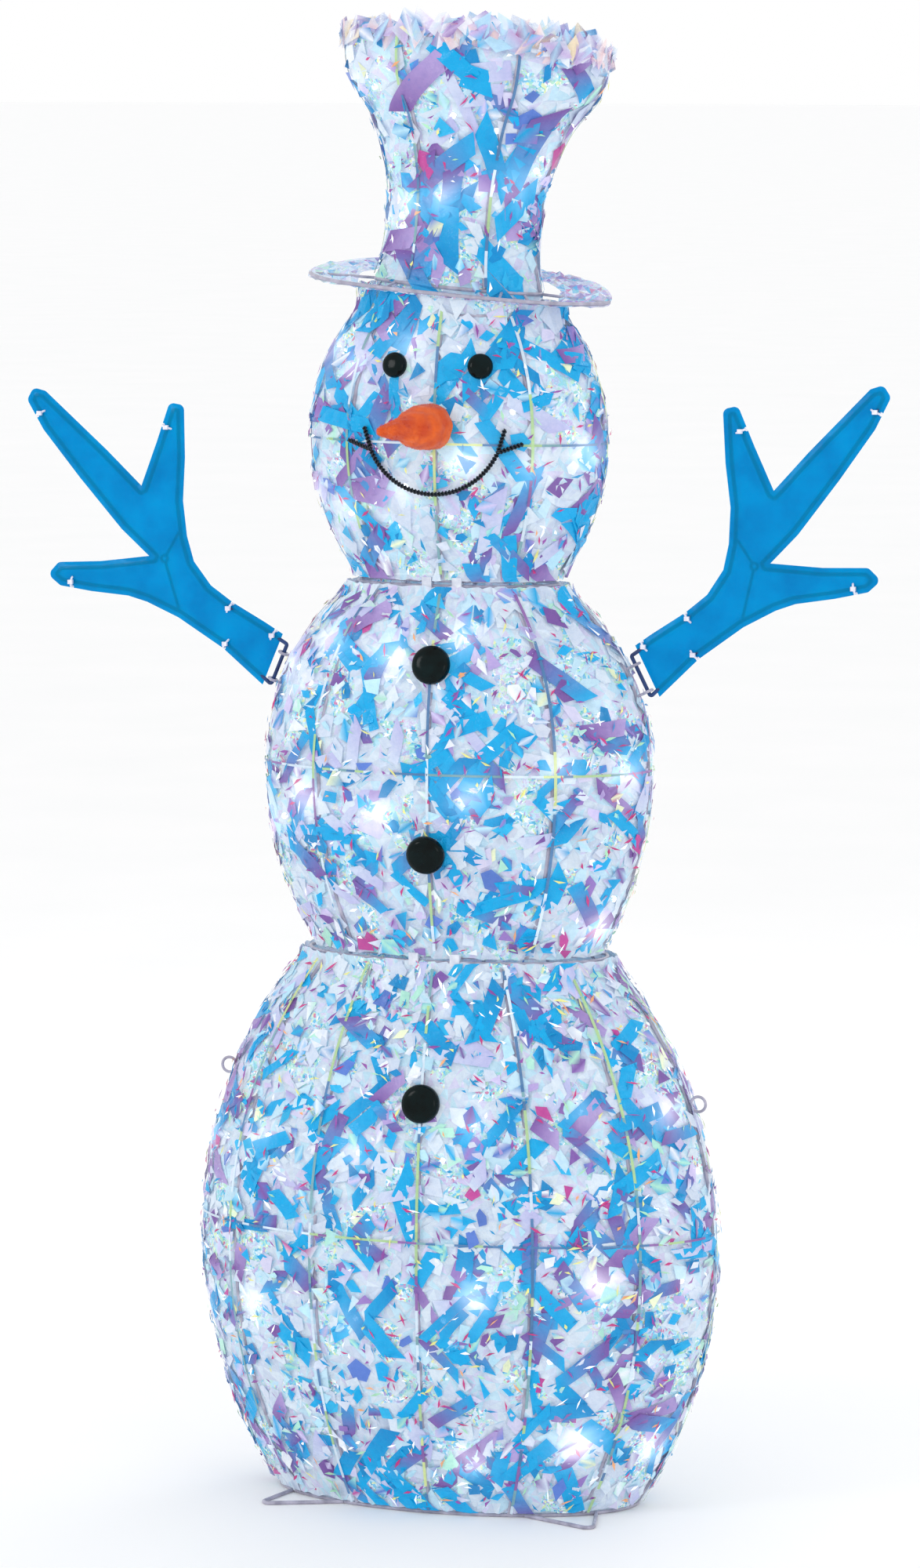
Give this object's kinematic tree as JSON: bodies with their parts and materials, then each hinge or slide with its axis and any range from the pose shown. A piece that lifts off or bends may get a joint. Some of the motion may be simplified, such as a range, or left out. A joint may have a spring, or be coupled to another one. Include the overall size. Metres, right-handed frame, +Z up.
{
  "type": "wire-frame yard snowman",
  "caption": "Free-standing lit snowman: flattened wire-frame tiers and top hat covered in iridescent film, light string inside, swinging film-covered arms, folding waist and neck.",
  "frame": {"origin": "on the ground, at the centre of the oval base ring", "axes": "+X across the figure to its right-hand side as seen from the front, -Y the way the face looks, +Z up"},
  "size_m": [0.9246, 0.3377, 1.524],
  "materials": {
    "frame_wire": "satin white coating",
    "film_iridescent": "crinkled iridescent film, gloss",
    "film_blue": "clear blue film, gloss",
    "button_black": "gloss",
    "nose_orange": "short brushed pile",
    "mouth_black": "twisted cord",
    "cable_tie": "clear, satin",
    "clip_plastic": "translucent white, satin",
    "light_wire": "clear insulation over wire",
    "led": "lit lamp, cool white"
  },
  "bodies": {
    "lower": {"base_ring": "frame_wire", "lower_ribs": "frame_wire", "lower_hoop": "frame_wire", "lower_top_ring": "frame_wire", "left_foot": "frame_wire", "right_foot": "frame_wire", "left_tether_eye": "frame_wire", "right_tether_eye": "frame_wire", "lower_film_front": "film_iridescent", "lower_film_back": "film_iridescent", "lower_button": "button_black", "lower_light_string": "light_wire", "lower_bulbs": "led", "waist_hinge_rod": "frame_wire", "waist_clips": "clip_plastic"},
    "middle": {"middle_bottom_ring": "frame_wire", "middle_top_ring": "frame_wire", "middle_ribs": "frame_wire", "middle_hoop": "frame_wire", "waist_hinge_eyes": "frame_wire", "middle_button": "button_black", "upper_button": "button_black", "middle_film_front": "film_iridescent", "middle_film_back": "film_iridescent", "middle_light_string": "light_wire", "middle_bulbs": "led", "neck_hinge_rod": "frame_wire", "neck_clips": "clip_plastic", "left_arm_lugs": "frame_wire", "right_arm_lugs": "frame_wire"},
    "head": {"head_bottom_ring": "frame_wire", "head_top_ring": "frame_wire", "head_ribs": "frame_wire", "head_hoop": "frame_wire", "neck_hinge_eyes": "frame_wire", "head_film_front": "film_iridescent", "head_film_back": "film_iridescent", "left_eye": "button_black", "right_eye": "button_black", "nose": "nose_orange", "mouth": "mouth_black", "head_light_string": "light_wire", "head_bulbs": "led", "crown_base_ring": "frame_wire", "crown_top_ring": "frame_wire", "crown_ribs": "frame_wire", "crown_film": "film_iridescent", "brim_wire": "frame_wire", "brim_film": "film_iridescent", "hat_spokes": "frame_wire", "crown_light_string": "light_wire", "crown_bulbs": "led"},
    "left_arm": {"left_arm_frame": "frame_wire", "left_arm_braces": "frame_wire", "left_arm_film": "film_blue", "left_arm_ties": "cable_tie"},
    "right_arm": {"right_arm_frame": "frame_wire", "right_arm_braces": "frame_wire", "right_arm_film": "film_blue", "right_arm_ties": "cable_tie"}
  },
  "joints": [
    {"name": "waist_hinge", "type": "hinge", "parent": "lower", "child": "middle", "pos_m": [0, 0.089, 0.575], "axis": [-1, 0, 0], "range_deg": [0, 90]},
    {"name": "neck_hinge", "type": "hinge", "parent": "middle", "child": "head", "pos_m": [0, 0.0625, 0.958], "axis": [-1, 0, 0], "range_deg": [0, 90]},
    {"name": "left_arm_swing", "type": "hinge", "parent": "middle", "child": "left_arm", "pos_m": [-0.196, 0, 0.862], "axis": [0.3859, 0, 0.9225], "range_deg": [-75, 75]},
    {"name": "right_arm_swing", "type": "hinge", "parent": "middle", "child": "right_arm", "pos_m": [0.196, 0, 0.862], "axis": [-0.4493, 0, 0.8934], "range_deg": [-75, 75]}
  ]
}
